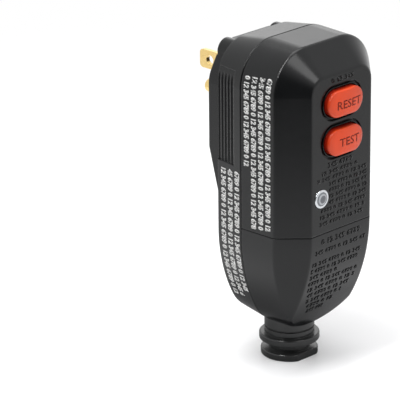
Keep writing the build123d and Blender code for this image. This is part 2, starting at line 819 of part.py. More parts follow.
def reset_shaft():
    """Steel pin pressed into the button, with the groove that the latch holds."""
    top = button_back_y + hub_depth - shaft_fit_depth + fit
    groove_front = latch_front_y - groove_play
    groove_back = latch_back_y + groove_play
    end = carrier_back_y + shaft_nose
    profile = [
        Line((0, top), (shaft_radius, top)),
        Line((shaft_radius, top), (shaft_radius, groove_front)),
        Line((shaft_radius, groove_front), (groove_radius, groove_front)),
        Line((groove_radius, groove_front), (groove_radius, groove_back)),
        Line((groove_radius, groove_back), (shaft_radius, groove_back)),
        Line((shaft_radius, groove_back), (shaft_radius, end - shaft_cone)),
        Line((shaft_radius, end - shaft_cone), (shaft_radius / 2, end)),
        Line((shaft_radius / 2, end), (0, end)),
        Line((0, end), (0, top)),
    ]
    return Pos(0, 0, -reset_drop) * revolve(make_face(profile), axis=Axis.Y)


def latch_plate():
    """Steel plate with a keyhole: narrow round the groove, wide after the plunger's stroke."""
    middle = (latch_rise - latch_reach) / 2
    plate = Pos(0, middle) * Rectangle(2 * latch_half_width, latch_rise + latch_reach)
    narrow = groove_radius + groove_clearance
    keyhole = Pos(0, -plunger_travel) * Circle(shaft_radius + latch_play + groove_clearance)
    keyhole += Pos(0, -plunger_travel / 2) * Rectangle(2 * narrow, plunger_travel)
    keyhole += Circle(narrow)
    plate = slab(plate - keyhole, latch_back_y, latch_front_y)
    return Pos(0, 0, -reset_drop) * plate


def reset_spring():
    length = frame_top_y - button_back_y - 2 * fit
    size = (reset_spring_radius, reset_spring_wire, length, reset_spring_turns)
    spring = coil_spring("reset spring", *size)
    return along_depth(spring, 0, -reset_drop, frame_top_y - fit)


def break_springs():
    back = carrier_front_y + break_pocket_depth
    length = back - frame_back_y - 2 * fit
    size = (break_spring_radius, break_spring_wire, length, break_spring_turns)
    spring = coil_spring("break spring", *size)
    return mirrored(along_depth(spring, break_spring_x, -reset_drop, back - fit))


# Solenoid, lying along Z
yoke_top_z = -yoke_top_drop
bobbin_top_z = yoke_top_z - yoke_plate
bobbin_low_z = bobbin_top_z - coil_length
yoke_low_z = bobbin_low_z - yoke_plate


def solenoid_yoke():
    """Steel bracket on the board that closes the path round the coil."""
    half = yoke_half_width
    front_y = solenoid_y - bobbin_rim
    yoke = block(-half, half, front_y, board_front_y, yoke_low_z, yoke_top_z)
    yoke -= block(-far, far, front_y - over, board_front_y - yoke_plate, bobbin_low_z, bobbin_top_z)
    yoke -= bar(0, solenoid_y, plunger_rod + running, bobbin_top_z - over, yoke_top_z + over)
    return yoke - bar(0, solenoid_y, plunger_radius + running, yoke_low_z - over, bobbin_low_z + over)


def solenoid_bobbin():
    top = bobbin_top_z - fit
    low = bobbin_low_z + fit
    bobbin = bar(0, solenoid_y, bobbin_tube, low, top)
    bobbin += bar(0, solenoid_y, bobbin_rim, low, low + bobbin_flange)
    bobbin += bar(0, solenoid_y, bobbin_rim, top - bobbin_flange, top)
    return bobbin - bar(0, solenoid_y, bobbin_bore, low - over, top + over)


def solenoid_coil():
    low = bobbin_low_z + bobbin_flange + 2 * fit
    top = bobbin_top_z - bobbin_flange - 2 * fit
    winding = bar(0, solenoid_y, coil_radius, low, top)
    return winding - bar(0, solenoid_y, bobbin_tube + fit, low - over, top + over)


def solenoid_plunger():
    shoulder_z = bobbin_top_z - plunger_shoulder
    head_top = -reset_drop - latch_reach - fit
    plunger = bar(0, solenoid_y, plunger_radius, yoke_low_z - plunger_tail, shoulder_z)
    plunger = chamfer(plunger.edges().group_by(Axis.Z)[0], yoke_plate / 3)
    plunger += bar(0, solenoid_y, plunger_rod, shoulder_z, head_top)
    return plunger + bar(0, solenoid_y, plunger_head, head_top - plunger_head_height, head_top)


def plunger_spring():
    length = plunger_shoulder - 2 * fit
    size = (plunger_spring_radius, plunger_spring_wire, length, plunger_spring_turns)
    spring = coil_spring("plunger spring", *size)
    return Pos(0, solenoid_y, bobbin_top_z - plunger_shoulder + fit) * spring


# Test contact: a leaf under the test button and the post that it meets
leaf_half = 2.0
leaf_x = 9.0
leaf_end = 3.0
leaf_foot = 2.0
post_gap = test_travel + leaf_thickness
post_end = 1.0


def strip_bracket(foot_x, inner_x, y, thickness):
    """A strip that stands on the board and bends inwards at the top."""
    side = 1 if foot_x > 0 else -1
    outer = foot_x + side * thickness
    foot = foot_x + side * leaf_foot
    leg_x = sorted((foot_x, outer))
    arm_x = sorted((inner_x, outer))
    foot_span = sorted((foot_x, foot))
    leg = block(leg_x[0], leg_x[1], y, board_front_y, -leaf_half, leaf_half)
    arm = block(arm_x[0], arm_x[1], y, y + thickness, -leaf_half, leaf_half)
    base = block(foot_span[0], foot_span[1], board_front_y - thickness, board_front_y, -leaf_half, leaf_half)
    return Pos(0, 0, -reset_drop - button_pitch) * (leg + arm + base)


def test_leaf():
    return strip_bracket(leaf_x, -leaf_end, leaf_y, leaf_thickness)


def test_contact():
    return strip_bracket(-leaf_x, -post_end, leaf_y + post_gap, leaf_thickness)


# Fault sensing and control
core_inner = 3.2
core_height = 4.4
core_case = 0.6
spacer = 0.4
lead_spread = 1.6
lead_drop = 5.1          # the conductor comes down this far as it spreads
lead_clear = 1.0         # from the cores to the start of its bend
lead_step = 1.0          # and this much more as it turns back to the terminals


def sensing_core(back):
    """Wound ring in its moulded case, rounded at both rims."""
    ring = slab(Circle(core_outer), back, back - core_height)
    ring = fillet(ring.edges(), core_case)
    return Pos(0, 0, -core_drop) * (ring - slab(Circle(core_inner), back + over, back - core_height - over))


def differential_transformer():
    return sensing_core(board_front_y)


def neutral_transformer():
    return sensing_core(board_front_y - core_height - spacer / 2)


part_gap = 0.8           # between components on the board
varistor_radius = 4.8
varistor_thickness = 3.6
varistor_edge = 6.8
varistor_x = board_half - varistor_edge
capacitor_width = 4.2
capacitor_height = 9.0
capacitor_depth = 8.0
capacitor_corner = 0.5
capacitor_edge = 8.2
capacitor_x = board_half - capacitor_edge
capacitor_drop = reset_drop + button_pitch + leaf_half + part_gap + capacitor_height / 2
thyristor_radius = 2.4
thyristor_height = 4.6
thyristor_edge = 6.8
thyristor_x = board_half - thyristor_edge
chip_width = 3.9
chip_length = 4.9
chip_depth = 1.5
chip_edge = 4.8
chip_x = board_half - chip_edge
chip_leg = 0.4
chip_leg_reach = 1.0
chip_leg_pitch = 1.27
resistor_radius = 1.1
resistor_length = 5.0
resistor_edge = 3.2
resistor_x = board_half - resistor_edge
resistor_pitch = 3.4
resistor_drop = 20.6
resistor_count = 3
diode_radius = 1.2
diode_length = 4.6
diode_pitch = 3.2
diode_edge = 5.2
diode_x = board_half - diode_edge
diode_drop = 7.2
varistor_drop = diode_drop + diode_pitch + diode_radius + part_gap + varistor_radius
thyristor_drop = varistor_drop + varistor_radius + part_gap + thyristor_radius
chip_drop = thyristor_drop + thyristor_radius + part_gap + chip_length / 2


def varistor():
    disc = Rot(0, 90, 0) * Cylinder(varistor_radius, varistor_thickness)
    disc = fillet(disc.edges(), varistor_thickness / 4)
    x = varistor_x + varistor_thickness / 2
    return Pos(x, board_front_y - varistor_radius, -varistor_drop) * disc


def capacitor():
    outline = RectangleRounded(capacitor_width, capacitor_height, capacitor_corner)
    outline = Pos(-capacitor_x, -capacitor_drop) * outline
    return slab(outline, board_front_y, board_front_y - capacitor_depth)


def thyristor():
    outline = Circle(thyristor_radius)
    outline -= Pos(0, -thyristor_radius) * Rectangle(2 * thyristor_radius, thyristor_radius)
    return slab(Pos(thyristor_x, -thyristor_drop) * outline, board_front_y, board_front_y - thyristor_height)


def controller_chip():
    """Eight-legged package standing on its legs."""
    body_back = board_front_y - chip_leg / 2
    chip = slab(Rectangle(chip_width, chip_length), body_back, body_back - chip_depth)
    middle = body_back - chip_depth / 2
    half = chip_width / 2
    for n in range(4):
        z = (n - 3 / 2) * chip_leg_pitch
        low, high = z - chip_leg / 2, z + chip_leg / 2
        shin = block(half + chip_leg, half + 2 * chip_leg, middle, board_front_y, low, high)
        knee = block(half - chip_leg, half + 2 * chip_leg, middle, middle + chip_leg / 2, low, high)
        toe_front = board_front_y - chip_leg / 2
        toe = block(half + chip_leg, half + chip_leg_reach, toe_front, board_front_y, low, high)
        chip += mirrored(shin + knee + toe)
    return Pos(chip_x, 0, -chip_drop) * chip


def lying_part(x, drop, radius, length):
    """A small round component lying on the board across its width."""
    body = Rot(0, 90, 0) * Cylinder(radius, length)
    body = fillet(body.edges(), radius / 2)
    return Pos(x, board_front_y - radius, -drop) * body


def resistors():
    drops = [resistor_drop + n * resistor_pitch for n in range(resistor_count)]
    return [lying_part(-resistor_x, drop, resistor_radius, resistor_length) for drop in drops]


def diodes():
    places = [(side, drop) for side in (-1, 1) for drop in (diode_drop, diode_drop + diode_pitch)]
    return [lying_part(side * diode_x, drop, diode_radius, diode_length) for side, drop in places]


# Wiring chamber
terminal_rise = 7.8
terminal_y = floor_y - terminal_rise
terminal_plate = 1.0
terminal_top_edge = 1.0
terminal_low_edge = 1.5
terminal_tab = 0.8
terminal_tab_width = 5.0
fin_thickness = 1.0
fin_rise = 5.0
fin_corner = 1.2
terminal_head = 3.0
terminal_head_height = 1.9
terminal_shank = 1.7
terminal_shank_length = 6.0
terminal_upper_drop = terminal_top_drop + terminal_top_edge
terminal_end_drop = terminal_low_drop - terminal_low_edge
terminal_screw_drop = (terminal_upper_drop + terminal_end_drop) / 2
fin_x = (terminal_pitch + strap_half - terminal_width / 2) / 2


def terminal_block():
    """Moulded block with three screw holes and fins between the terminals."""
    middle = -(terminal_top_drop + terminal_low_drop) / 2
    height = terminal_low_drop - terminal_top_drop
    base = slab(Pos(0, middle) * RectangleRounded(2 * terminal_half, height, fin_corner), floor_y, terminal_y)
    fin = Pos(fin_x, middle) * Rectangle(fin_thickness, height - 2 * fin_corner)
    base += mirrored(slab(fin, terminal_y, terminal_y - fin_rise))
    holes = [Pos(n * terminal_pitch, -terminal_screw_drop) * Circle(terminal_shank + fit) for n in (-1, 0, 1)]
    depth = terminal_shank_length + over
    for hole in holes:
        base -= slab(hole, terminal_y + depth, terminal_y - over)
    return base


def terminal_hole(x):
    return peg(x, -terminal_screw_drop, terminal_shank + fit, terminal_y + over, terminal_y - 2 * over)


def supply_terminal(side):
    """Brass plate under the screw, with a tab that meets the conductor."""
    x = side * terminal_pitch
    middle = -(terminal_upper_drop + terminal_end_drop) / 2
    height = terminal_end_drop - terminal_upper_drop
    plate = slab(Pos(x, middle) * Rectangle(terminal_width, height), terminal_y, terminal_y - terminal_plate)
    tab_half = terminal_tab_width / 2
    tab_low = -terminal_upper_drop - terminal_tab
    tab_front = lead_y - tab_half
    plate += block(x - tab_half, x + tab_half, tab_front, terminal_y, tab_low, -terminal_upper_drop)
    return plate - terminal_hole(x)


def ground_strap():
    """Brass strip from the ground pin along the floor and up to the middle screw."""
    strap_y = floor_y - fit - flange_thickness
    front = strap_y - strap_thickness
    low = -terminal_top_drop + fit
    strip = [
        (strap_y, -ground_drop + pin_flange),
        (strap_y, low),
        (terminal_y, low),
        (terminal_y, -terminal_end_drop),
        (terminal_y - strap_thickness, -terminal_end_drop),
        (terminal_y - strap_thickness, low + strap_thickness),
        (front, low + strap_thickness),
        (front, -ground_drop + pin_flange),
    ]
    strap = extrude(Plane.YZ * make_face(Polyline(*strip, close=True)), amount=strap_half, both=True)
    strap -= peg(0, -ground_drop, ground_radius / 2 + fit, strap_y + over, front - over)
    return strap - terminal_hole(0)


def conductor(side):
    """Bent conductor from the board, through both cores, to its terminal."""
    front = board_front_y - 2 * core_height - spacer - lead_bend - lead_clear
    x0 = side * lead_spread
    x1 = side * lead_x
    z0 = -core_drop
    z1 = z0 - lead_drop
    end = -terminal_upper_drop + fit
    route = [(x0, board_front_y, z0), (x0, front, z0), (x1, front, z1)]
    route += [(x1, lead_y, z1 - lead_step), (x1, lead_y, end)]
    path = FilletPolyline(*route, radius=lead_bend)
    return sweep(Plane(origin=route[0], z_dir=(0, -1, 0)) * Circle(lead_radius), path=path)


# Cord entry
clamp_bar = 2.5
clamp_half = 12.6
clamp_arch = 1.8
clamp_tooth = 0.6
small_head = 2.3
small_head_height = 1.6
small_length = 6.5
gland_fillet = 0.5


def cord_clamp():
    """Saddle that arches over the cord and is screwed to two bosses."""
    inner = cord_radius + clamp_tooth
    outer = inner + clamp_arch
    foot = clamp_seat_y - clamp_bar
    saddle = Pos(0, (clamp_seat_y + foot) / 2) * Rectangle(2 * clamp_half, clamp_bar)
    saddle += Pos(0, parting_y) * Circle(outer)
    saddle += Pos(0, (parting_y + clamp_seat_y) / 2) * Rectangle(2 * outer, abs(parting_y - clamp_seat_y))
    saddle -= Pos(0, clamp_seat_y + outer) * Rectangle(2 * far, 2 * outer)
    saddle -= Pos(0, parting_y) * Circle(inner)
    mouth = abs(parting_y - clamp_seat_y - over)
    saddle -= Pos(0, (parting_y + clamp_seat_y + over) / 2) * Rectangle(2 * inner, mouth)
    solid = Pos(0, 0, -clamp_drop) * extrude(Plane.XY * saddle, amount=clamp_half_width, both=True)
    solid -= mirrored(peg(clamp_screw_x, -clamp_drop, small_shank + fit, clamp_seat_y + over, foot - over))
    return solid


def cord_gland():
    """Rubber bushing turned about the cord: lock flange, neck, ring, waist and end flange."""
    lock_low = chamber_end - fit
    ring_low = gland_ring_drop + gland_ring_height
    end_top = ring_low + gland_waist_height
    end_low = end_top + gland_end_height
    steps = [
        (gland_lock, lock_low - gland_lock_height, lock_low),
        (gland_neck, lock_low, groove_drop),
        (gland_neck - gland_groove, groove_drop, groove_drop + gland_groove_height),
        (gland_neck, groove_drop + gland_groove_height, gland_ring_drop),
        (gland_ring, gland_ring_drop, ring_low),
        (gland_core, ring_low, end_top),
        (gland_end, end_top, end_low),
    ]
    outline = [(0, -steps[0][1])]
    for radius, top, low in steps:
        outline += [(radius, -top), (radius, -low)]
    outline += [(0, -end_low)]
    profile = make_face(Polyline(*outline, close=True))
    rims = [corner for corner in profile.vertices() if corner.X > gland_neck]
    profile = fillet(rims, gland_fillet)
    gland = revolve(Plane.XZ * profile, axis=Axis.Z)
    gland -= block(-far, far, -far, -gland_flat, -end_low - over, -end_top)
    gland -= bar(0, 0, cord_radius, -end_low - over, -lock_low + gland_lock_height + over)
    return Pos(0, parting_y, 0) * gland


def screw(head_radius, head_height, shank_radius, length):
    """Pan head standing on the origin plane, shank pointing forward, with a cross recess."""
    head = slab(Circle(head_radius), head_height, 0)
    head = fillet(head.faces().sort_by(Axis.Y)[-1].edges(), head_height / 3)
    shank = slab(Circle(shank_radius), 0, -length)
    shank = chamfer(shank.faces().sort_by(Axis.Y)[0].edges(), shank_radius / 2)
    cross = Rectangle(cross_length, cross_width) + Rectangle(cross_width, cross_length)
    return head + shank - slab(cross, head_height + over, head_height - cross_depth)


def case_screws(x, z, recess):
    bolt = screw(recess - screw_head_play, screw_head_height, screw_shank, screw_length)
    return [Pos(side * x, screw_seat_y, z) * bolt for side in (-1, 1)]


def upper_case_screws():
    return case_screws(upper_screw_x, upper_screw_z, upper_recess)


def lower_case_screws():
    return case_screws(lower_screw_x, -lower_screw_drop, lower_recess)


def inward_screw(x, y, drop, head, height, shank, length):
    """A screw driven from the front."""
    bolt = screw(head, height, shank, length)
    return Pos(x, y, -drop) * Rot(180, 0, 0) * bolt


def terminal_screws():
    head_y = terminal_y - terminal_plate
    seats = [(-terminal_pitch, head_y), (0, terminal_y - strap_thickness), (terminal_pitch, head_y)]
    size = (terminal_head, terminal_head_height, terminal_shank, terminal_shank_length)
    return [inward_screw(x, y, terminal_screw_drop, *size) for x, y in seats]


def clamp_screws():
    y = clamp_seat_y - clamp_bar
    size = (small_head, small_head_height, small_shank, small_length)
    return [inward_screw(side * clamp_screw_x, y, clamp_drop, *size) for side in (-1, 1)]


nodes = {
    "rear_housing": rear_housing,
    "front_cover": front_cover,
    "terminal_cover": terminal_cover,
    "line_blade": lambda: blade(blade_pitch / 2),
    "neutral_blade": lambda: blade(-blade_pitch / 2),
    "ground_pin": ground_pin,
    "reset_button": reset_button,
    "test_button": test_button,
    "reset_shaft": reset_shaft,
    "reset_spring": reset_spring,
    "mechanism_frame": mechanism_frame,
    "contact_carrier": contact_carrier,
    "moving_contacts": moving_contacts,
    "fixed_contacts": fixed_contacts,
    "latch_plate": latch_plate,
    "break_springs": break_springs,
    "solenoid_yoke": solenoid_yoke,
    "solenoid_bobbin": solenoid_bobbin,
    "solenoid_coil": solenoid_coil,
    "solenoid_plunger": solenoid_plunger,
    "plunger_spring": plunger_spring,
    "test_leaf": test_leaf,
    "test_contact": test_contact,
    "differential_transformer": differential_transformer,
    "neutral_transformer": neutral_transformer,
    "circuit_board": circuit_board,
    "indicator_light": indicator_light,
    "indicator_lens": indicator_lens,
    "indicator_bezel": indicator_bezel,
    "varistor": varistor,
    "capacitor": capacitor,
    "thyristor": thyristor,
    "controller_chip": controller_chip,
    "resistors": resistors,
    "diodes": diodes,
    "terminal_block": terminal_block,
    "line_terminal": lambda: supply_terminal(1),
    "neutral_terminal": lambda: supply_terminal(-1),
    "ground_strap": ground_strap,
    "line_conductor": lambda: conductor(1),
    "neutral_conductor": lambda: conductor(-1),
    "terminal_screws": terminal_screws,
    "cord_gland": cord_gland,
    "cord_clamp": cord_clamp,
    "clamp_screws": clamp_screws,
    "upper_case_screws": upper_case_screws,
    "lower_case_screws": lower_case_screws,
}

os.makedirs("parts", exist_ok=True)
for name, make in nodes.items():
    made = make()
    solids = made if isinstance(made, list) else made.solids()
    export_step(Compound(children=list(solids)), f"parts/{name}.step")
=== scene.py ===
# %% [markdown]
# # A plug with a built-in residual current device
#
# The real object is a tapered black case of three moulded shells. Brass blades and a ground
# pin stand out of its rear, two orange buttons and an indicator sit in its front, and a rubber
# bushing for the cord hangs from its lower end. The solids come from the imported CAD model, so
# this notebook gives them their finishes, adds what is too thin to be a solid or has to give
# way, and sets the floor, the light and the camera.

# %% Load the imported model
import json
import math

import bpy
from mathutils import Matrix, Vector


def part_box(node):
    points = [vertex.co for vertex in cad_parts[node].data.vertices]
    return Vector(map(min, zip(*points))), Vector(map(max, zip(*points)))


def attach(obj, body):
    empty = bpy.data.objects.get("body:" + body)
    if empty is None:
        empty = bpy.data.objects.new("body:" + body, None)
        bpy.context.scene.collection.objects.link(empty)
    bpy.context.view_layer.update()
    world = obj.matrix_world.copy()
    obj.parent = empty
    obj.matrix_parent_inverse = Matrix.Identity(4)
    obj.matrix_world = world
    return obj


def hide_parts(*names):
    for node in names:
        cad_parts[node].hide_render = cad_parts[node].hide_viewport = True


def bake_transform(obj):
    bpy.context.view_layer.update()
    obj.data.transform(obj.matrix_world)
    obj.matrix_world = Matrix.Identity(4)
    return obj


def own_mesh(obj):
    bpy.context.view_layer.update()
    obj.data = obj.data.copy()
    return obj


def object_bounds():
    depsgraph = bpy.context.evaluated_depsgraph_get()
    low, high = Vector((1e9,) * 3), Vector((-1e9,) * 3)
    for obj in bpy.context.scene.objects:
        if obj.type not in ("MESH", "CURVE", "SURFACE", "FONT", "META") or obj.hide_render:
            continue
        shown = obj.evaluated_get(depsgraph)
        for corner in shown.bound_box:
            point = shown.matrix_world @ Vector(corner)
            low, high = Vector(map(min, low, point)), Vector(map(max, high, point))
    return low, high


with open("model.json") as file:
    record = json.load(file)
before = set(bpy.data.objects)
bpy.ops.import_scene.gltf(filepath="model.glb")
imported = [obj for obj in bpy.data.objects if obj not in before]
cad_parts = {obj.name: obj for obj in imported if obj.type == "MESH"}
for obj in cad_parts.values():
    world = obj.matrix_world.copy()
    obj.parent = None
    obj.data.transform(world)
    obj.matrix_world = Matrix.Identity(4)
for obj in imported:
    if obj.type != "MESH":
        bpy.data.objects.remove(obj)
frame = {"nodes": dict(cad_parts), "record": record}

for left_over in ("Cube", "Light", "Camera"):
    if left_over in bpy.data.objects:
        bpy.data.objects.remove(bpy.data.objects[left_over])
packed_finishes = len(bpy.data.materials)
cad_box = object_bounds()
print("CAD box, mm:", [[round(v * 1000, 2) for v in corner] for corner in cad_box])

# %% [markdown]
# ## Small helpers
#
# Colours are given as sRGB hex values, as in a drawing program, but Blender's sockets
# take linear light. One function turns them. A second one adds a node with its settings and
# its links, so a material reads from top to bottom like a recipe.

# %% Colour and node helpers
MM = 0.001


def linear(hex_colour):
    """An sRGB hex colour as the linear RGBA that a socket takes."""
    parts = [int(hex_colour[i:i + 2], 16) / 255 for i in (1, 3, 5)]
    return [*(p / 12.92 if p <= 0.04045 else ((p + 0.055) / 1.055) ** 2.4 for p in parts), 1]


def add(tree, kind, inputs=None, **settings):
    """Adds a node. A socket among its inputs is linked, and anything else is set as a value."""
    node = tree.nodes.new(kind)
    for name, value in settings.items():
        setattr(node, name, value)
    for key, value in (inputs or {}).items():
        if isinstance(value, bpy.types.NodeSocket):
            tree.links.new(value, node.inputs[key])
        else:
            node.inputs[key].default_value = value
    return node


def blank(name):
    """A new material, its node tree and its Principled shader."""
    material = bpy.data.materials.new(name)
    material.use_nodes = True
    return material, material.node_tree, material.node_tree.nodes["Principled BSDF"]


def per_metre(size_mm):
    """The scale of a pattern whose features are size_mm apart."""
    return 1 / (size_mm * MM)


print("mid grey #808080 is", round(linear("#808080")[0], 3), "in linear light")

# %% [markdown]
# ## Finishes
#
# Nearly every piece is either moulded or worked metal, so two recipes carry most of the work.
#
# A moulded surface copies its steel tool, which is spark eroded: a fine, even grain that
# spreads the highlight. Its colour is nearly even, with slight clouds where the melt cooled
# slower. A Bevel node rounds the shading at the edges, because no tool leaves a knife edge,
# and that thin line of light along every edge is what tells plastic from a drawing.

# %% The recipe for moulded plastics and rubber
NOISE_LOW, NOISE_HIGH = 0.3, 0.7  # nearly all values of a noise lie between these
EDGE_SAMPLES = 6
CLOUD_MM = 14
CLOUD_SHEEN = 0.04  # how far a cloud moves the roughness either way


def moulded(name, colour, cloud, rough, grain_mm=0.35, depth_mm=0.012, edge_mm=0.25, **sockets):
    """A moulded plastic or rubber. cloud is the second colour of its slight clouds."""
    material, tree, shader = blank(name)
    spot = add(tree, "ShaderNodeTexCoord").outputs["Object"]
    clouds = add(tree, "ShaderNodeTexNoise", {"Vector": spot, "Scale": per_metre(CLOUD_MM),
                                              "Detail": 3.0})
    tint = add(tree, "ShaderNodeMix", {"Factor": clouds.outputs["Fac"], "A": linear(colour),
                                       "B": linear(cloud)}, data_type="RGBA")
    tree.links.new(tint.outputs["Result"], shader.inputs["Base Color"])
    sheen = add(tree, "ShaderNodeMapRange", {"Value": clouds.outputs["Fac"],
                                             "From Min": NOISE_LOW, "From Max": NOISE_HIGH,
                                             "To Min": rough - CLOUD_SHEEN,
                                             "To Max": rough + CLOUD_SHEEN})
    tree.links.new(sheen.outputs["Result"], shader.inputs["Roughness"])
    grain = add(tree, "ShaderNodeTexNoise", {"Vector": spot, "Scale": per_metre(grain_mm),
                                             "Detail": 2.0})
    edges = add(tree, "ShaderNodeBevel", {"Radius": edge_mm * MM}, samples=EDGE_SAMPLES)
    bump = add(tree, "ShaderNodeBump", {"Height": grain.outputs["Fac"],
                                        "Normal": edges.outputs["Normal"],
                                        "Distance": depth_mm * MM, "Strength": 0.6})
    tree.links.new(bump.outputs["Normal"], shader.inputs["Normal"])
    for socket, value in sockets.items():
        shader.inputs[socket.replace("_", " ")].default_value = value
    return material


print("clouds are", CLOUD_MM, "mm wide and move the roughness by", CLOUD_SHEEN)

# %% Moulded and coated finishes
# Black ABS from a spark-eroded tool: near-black, and its grain turns sharp reflections into
# soft broad ones, so the top looks grey and the side stays dark.
case_abs = moulded("black ABS, spark-eroded mould", "#0c0d0e", "#111213", rough=0.2, edge_mm=0.45,
                   Specular_IOR_Level=0.32)
# Orange-red ABS from a polished tool: the same plastic with a tighter highlight on its crown.
button_abs = moulded("orange ABS, polished mould", "#e24713", "#d84010", rough=0.22,
                     grain_mm=0.6, depth_mm=0.004, edge_mm=1.1, Specular_IOR_Level=0.4)
# Natural nylon: milky and a little waxy.
natural_nylon = moulded("natural nylon, moulded", "#e6e1d2", "#ddd7c6", rough=0.42,
                        Subsurface_Weight=0.08)
# Black glass-filled nylon: the fibres leave it matt and slightly mottled.
filled_nylon = moulded("black glass-filled nylon, moulded", "#1a1b1c", "#26282a", rough=0.55,
                       grain_mm=0.5, depth_mm=0.02)
# Grey core case: plain polyester, moulded round each ring core, with a dull even face.
core_case = moulded("grey polyester core case, moulded", "#3c3e42", "#45474b", rough=0.5)
# Transfer-moulded epoxy: dull black packages.
package_epoxy = moulded("black epoxy package, moulded", "#151516", "#1d1d1e", rough=0.6,
                        grain_mm=0.2)
# Black rubber from a polished tool: a coarser, flatter grain than the case and a soft shine,
# with a faint bloom.
rubber = moulded("black rubber, moulded", "#171818", "#1d1e1e", rough=0.24, grain_mm=0.5,
                 depth_mm=0.01, edge_mm=0.25, Sheen_Weight=0.05)
# Wire insulation: extruded, so it is smooth and has no edges to catch the light.
black_wire = moulded("black insulation, extruded", "#141414", "#191919", rough=0.4, grain_mm=0.8)
white_wire = moulded("white insulation, extruded", "#e4e2da", "#d8d6ce", rough=0.4, grain_mm=0.8)
# Dipped coatings of the components: glossy and a little uneven, like thick paint.
blue_epoxy = moulded("blue epoxy coating, dipped", "#22508f", "#1d4680", rough=0.25,
                     depth_mm=0.03, grain_mm=1.5)
tan_coat = moulded("tan epoxy coating, dipped", "#c9a878", "#bf9d6c", rough=0.35)
# Film capacitor case: a bright yellow box with a satin face.
yellow_case = moulded("yellow polyester film case, moulded", "#d8b53a", "#cba72f", rough=0.35)
print("moulded finishes:", len(bpy.data.materials) - packed_finishes)

# %% [markdown]
# ### Painted shade on the flank of the buttons
#
# Each button is one moulding. Its crown stands in the light, but its flank faces the wall of
# the opening and lies in its shade, so the orange deepens on the way down. That shade is
# painted. The flank could be a separate darker piece, but the real one has no seam there. So
# one material mixes a dark red in by depth as painted shade, which it reads from the piece's
# own coordinates, and the painted shade travels with a button that is pressed.

# %% Deepen the orange below the crown with painted shade
CROWN_EDGE, BUTTON_FOOT = -42.75 * MM, -41.3 * MM
button_tree = button_abs.node_tree
button_colour = button_tree.nodes["Principled BSDF"].inputs["Base Color"]
crown_tint = button_colour.links[0].from_socket
button_spot = add(button_tree, "ShaderNodeTexCoord").outputs["Object"]
button_axes = add(button_tree, "ShaderNodeSeparateXYZ", {"Vector": button_spot})
flank_shade_depth = add(button_tree, "ShaderNodeMapRange", {"Value": button_axes.outputs["Y"],
                                               "From Min": CROWN_EDGE, "From Max": BUTTON_FOOT})
# Painted shade: a dark red mixed in by depth below the crown, where the flank faces the opening's
# wall
painted_flank_shade = add(button_tree, "ShaderNodeMix", {"Factor": flank_shade_depth.outputs["Result"], "A": crown_tint,
                                           "B": linear("#7a1507")}, data_type="RGBA")
button_tree.links.new(painted_flank_shade.outputs["Result"], button_colour)
print("the flank is", round((BUTTON_FOOT - CROWN_EDGE) / MM, 2), "mm deep")

# %% [markdown]
# ### Metals
#
# Metal parts show how they were worked. Stamped strip keeps faint lines along the rolling
# direction, and winding wire lies in turns. The lines are noise stretched in one direction,
# which moves both the roughness and a very small bump. A metal's colour comes from the metal
# itself, so its IOR stays at the default.

# %% The recipe for metals
STAIN_MM = 5
SHINIER, DULLER = 0.06, 0.08  # how far a line moves the roughness down and up


def worked(name, colour, second, rough, stretch, line_mm=0.12, depth_mm=0.004, edge_mm=0.12):
    """A worked metal. stretch scales the pattern along x, y and z: less than 1 draws it out."""
    material, tree, shader = blank(name)
    shader.inputs["Metallic"].default_value = 1
    spot = add(tree, "ShaderNodeTexCoord").outputs["Object"]
    along = add(tree, "ShaderNodeMapping", {"Vector": spot, "Scale": stretch})
    lines = add(tree, "ShaderNodeTexNoise", {"Vector": along.outputs["Vector"],
                                             "Scale": per_metre(line_mm), "Detail": 3.0})
    stain = add(tree, "ShaderNodeTexNoise", {"Vector": spot, "Scale": per_metre(STAIN_MM),
                                             "Detail": 2.0})
    tint = add(tree, "ShaderNodeMix", {"Factor": stain.outputs["Fac"], "A": linear(colour),
                                       "B": linear(second)}, data_type="RGBA")
    tree.links.new(tint.outputs["Result"], shader.inputs["Base Color"])
    polish = add(tree, "ShaderNodeMapRange", {"Value": lines.outputs["Fac"],
                                              "From Min": NOISE_LOW, "From Max": NOISE_HIGH,
                                              "To Min": rough - SHINIER,
                                              "To Max": rough + DULLER})
    tree.links.new(polish.outputs["Result"], shader.inputs["Roughness"])
    edges = add(tree, "ShaderNodeBevel", {"Radius": edge_mm * MM}, samples=EDGE_SAMPLES)
    bump = add(tree, "ShaderNodeBump", {"Height": lines.outputs["Fac"],
                                        "Normal": edges.outputs["Normal"],
                                        "Distance": depth_mm * MM, "Strength": 0.5})
    tree.links.new(bump.outputs["Normal"], shader.inputs["Normal"])
    return material


print("stains are", STAIN_MM, "mm wide, and lines move the roughness by", -SHINIER, "to", DULLER)

# %% Metal finishes
EVEN = (1, 1, 1)
# Cartridge brass, stamped from rolled strip: warm yellow, faint lines towards the tip.
strip_brass = worked("cartridge brass, stamped strip", "#efd698", "#e3c27c", rough=0.22,
                     stretch=(1, 0.06, 1))
# Zinc plate on steel: cool grey with a soft shine.
zinc_steel = worked("zinc-plated steel", "#c3c5c9", "#aeb1b6", rough=0.34, stretch=EVEN)
# Spring steel wire: darker, with a fine even wear.
spring_wire = worked("spring steel, drawn wire", "#a9abb0", "#8f9298", rough=0.3, stretch=EVEN)
# Copper alloy strip for the contacts: redder than the blades.
contact_copper = worked("phosphor bronze, stamped strip", "#d39a6c", "#c4885a", rough=0.3,
                        stretch=(0.1, 1, 1))
# Enamelled winding wire: copper seen through amber enamel, laid in turns round the bobbin.
winding = worked("enamelled copper, wound", "#b4582a", "#a04a20", rough=0.3,
                 stretch=(0.05, 0.05, 1), line_mm=0.3, depth_mm=0.05)
# Silvered ring round the indicator: bright, so it reads as a thin pale circle.
silver_ring = worked("silvered ring, bright plated", "#d0d3d6", "#c2c6ca", rough=0.2,
                     stretch=EVEN)
print("finishes so far:", len(bpy.data.materials) - packed_finishes)

